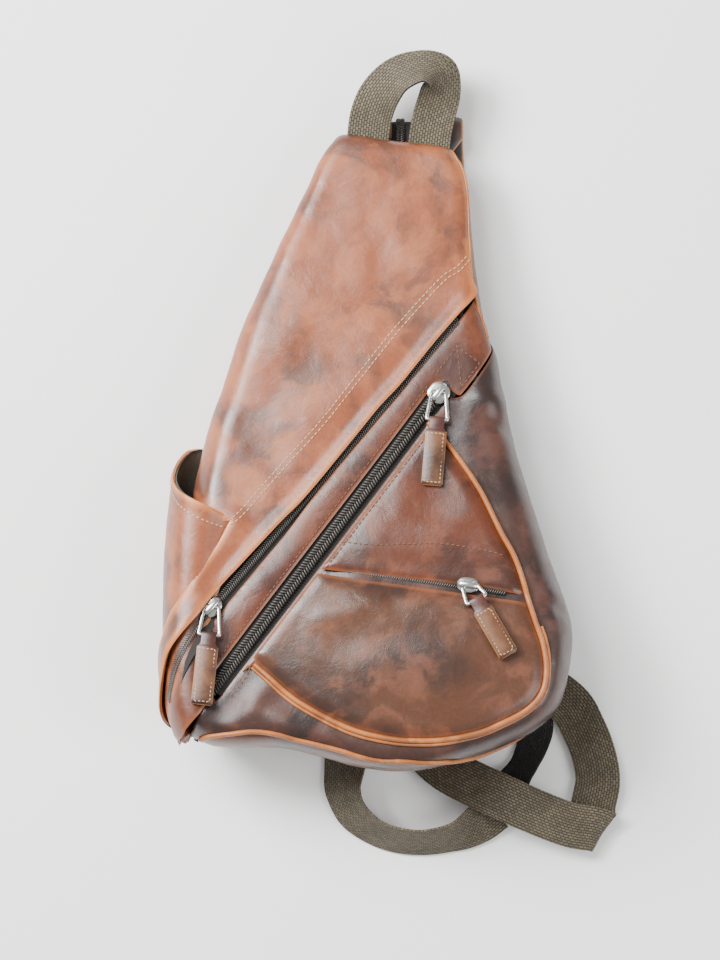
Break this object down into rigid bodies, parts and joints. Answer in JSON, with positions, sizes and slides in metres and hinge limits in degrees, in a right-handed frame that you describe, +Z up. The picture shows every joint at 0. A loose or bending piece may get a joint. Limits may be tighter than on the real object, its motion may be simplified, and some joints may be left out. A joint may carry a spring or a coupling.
{
  "type": "leather sling backpack",
  "caption": "Teardrop leather sling backpack with diagonal zips, a piped front pocket, a side slip pocket, webbing handle loop and zip-together shoulder straps.",
  "frame": {"origin": "middle of the bounding box on the surface that the bag lies on", "axes": "+Z up out of the front face of the bag lying on its back, +Y towards the handle loop at the top of the bag"},
  "size_m": [0.302, 0.5282, 0.098],
  "materials": {
    "tan_leather": "oiled pull-up leather, cinnamon, waxy",
    "dark_leather": "oiled pull-up leather, dark chocolate",
    "strip_leather": "oiled pull-up leather, reddish brown",
    "piping_leather": "piping leather, orange tan",
    "pull_leather": "two-ply stitched pull leather",
    "strap_leather": "leather face on a black mesh backing",
    "back_leather": "leather over foam padding",
    "olive_webbing": "coarse cotton webbing, olive brown",
    "black_webbing": "black polyester webbing",
    "buckle_plastic": "moulded acetal, black",
    "zip_tape": "woven polyester tape",
    "zip_coil": "polyester coil, dark",
    "nickel": "bright nickel plate",
    "lining": "plain woven lining"
  },
  "bodies": {
    "bag": {"left_gusset": "tan_leather", "right_gusset": "dark_leather", "bottom_gusset": "dark_leather", "top_gusset": "tan_leather", "back_panel": "back_leather", "upper_front_panel": "tan_leather", "diagonal_strip": "strip_leather", "lower_front_panel": "dark_leather", "pocket_top_panel": "dark_leather", "pocket_front_panel": "dark_leather", "pocket_piping": "piping_leather", "flap_zip_tape": "zip_tape", "flap_zip_coil": "zip_coil", "flap_zip_stops": "zip_coil", "main_zip_tape": "zip_tape", "main_zip_coil": "zip_coil", "main_zip_stops": "zip_coil", "pocket_zip_tape": "zip_tape", "pocket_zip_coil": "zip_coil", "pocket_zip_stops": "zip_coil", "main_lining": "lining", "side_pocket_panel": "dark_leather", "shoulder_strap_left": "strap_leather", "strap_zip_coil_left": "zip_coil", "shoulder_strap_right": "strap_leather", "strap_zip_coil_right": "zip_coil", "strap_zip_tape": "zip_tape", "left_webbing": "olive_webbing", "right_webbing": "olive_webbing", "black_webbing": "black_webbing", "left_buckle": "buckle_plastic", "right_buckle": "buckle_plastic", "left_anchor_tab": "black_webbing", "right_anchor_tab": "black_webbing"},
    "flap_zip_slider": {"flap_zip_slider": "nickel"},
    "flap_zip_ring": {"flap_zip_ring": "nickel"},
    "flap_zip_tab": {"flap_zip_tab": "pull_leather"},
    "main_zip_slider": {"main_zip_slider": "nickel"},
    "main_zip_ring": {"main_zip_ring": "nickel"},
    "main_zip_tab": {"main_zip_tab": "pull_leather"},
    "pocket_zip_slider": {"pocket_zip_slider": "nickel"},
    "pocket_zip_ring": {"pocket_zip_ring": "nickel"},
    "pocket_zip_tab": {"pocket_zip_tab": "pull_leather"},
    "strap_zip_slider": {"strap_zip_slider": "nickel"},
    "handle_loop": {"handle_loop": "olive_webbing"}
  },
  "joints": [
    {"name": "flap_zip_slide", "type": "slide", "parent": "bag", "child": "flap_zip_slider", "axis": [-0.6434, -0.7574, 0.1115], "range_m": [-0.19548, 0]},
    {"name": "flap_zip_ring_swing", "type": "hinge", "parent": "flap_zip_slider", "child": "flap_zip_ring", "pos_m": [-0.11839, -0.09522, 0.08255], "axis": [-0.9961, 0.0871, -0.0128], "range_deg": [0, 110]},
    {"name": "flap_zip_tab_swing", "type": "hinge", "parent": "flap_zip_ring", "child": "flap_zip_tab", "pos_m": [-0.12003, -0.11312, 0.08872], "axis": [-0.9961, 0.0871, -0.0128], "range_deg": [0, 60]},
    {"name": "main_zip_slide", "type": "slide", "parent": "bag", "child": "main_zip_slider", "axis": [-0.6025, -0.7896, 0.1163], "range_m": [-0.0005, 0.20756]},
    {"name": "main_zip_ring_swing", "type": "hinge", "parent": "main_zip_slider", "child": "main_zip_ring", "pos_m": [0.02949, 0.04498, 0.06251], "axis": [-0.9975, 0.0698, -0.0103], "range_deg": [0, 110]},
    {"name": "main_zip_tab_swing", "type": "hinge", "parent": "main_zip_ring", "child": "main_zip_tab", "pos_m": [0.02817, 0.02706, 0.06869], "axis": [-0.9975, 0.0698, -0.0103], "range_deg": [0, 60]},
    {"name": "pocket_zip_slide", "type": "slide", "parent": "bag", "child": "pocket_zip_slider", "axis": [-0.9903, 0.1371, -0.0202], "range_m": [-0.0165, 0.07103]},
    {"name": "pocket_zip_ring_swing", "type": "hinge", "parent": "pocket_zip_slider", "child": "pocket_zip_ring", "pos_m": [0.04798, -0.08084, 0.08549], "axis": [-0.8808, -0.4684, 0.069], "range_deg": [0, 110]},
    {"name": "pocket_zip_tab_swing", "type": "hinge", "parent": "pocket_zip_ring", "child": "pocket_zip_tab", "pos_m": [0.05342, -0.09033, 0.09042], "axis": [-0.8808, -0.4684, 0.069], "range_deg": [0, 60]},
    {"name": "strap_zip_slide", "type": "slide", "parent": "bag", "child": "strap_zip_slider", "axis": [0, 1, 0], "range_m": [-0.007, 0.293]},
    {"name": "handle_swing", "type": "hinge", "parent": "bag", "child": "handle_loop", "pos_m": [0.00475, 0.2143, 0.0256], "axis": [0.9916, -0.1292, 0], "range_deg": [0, 70]}
  ]
}
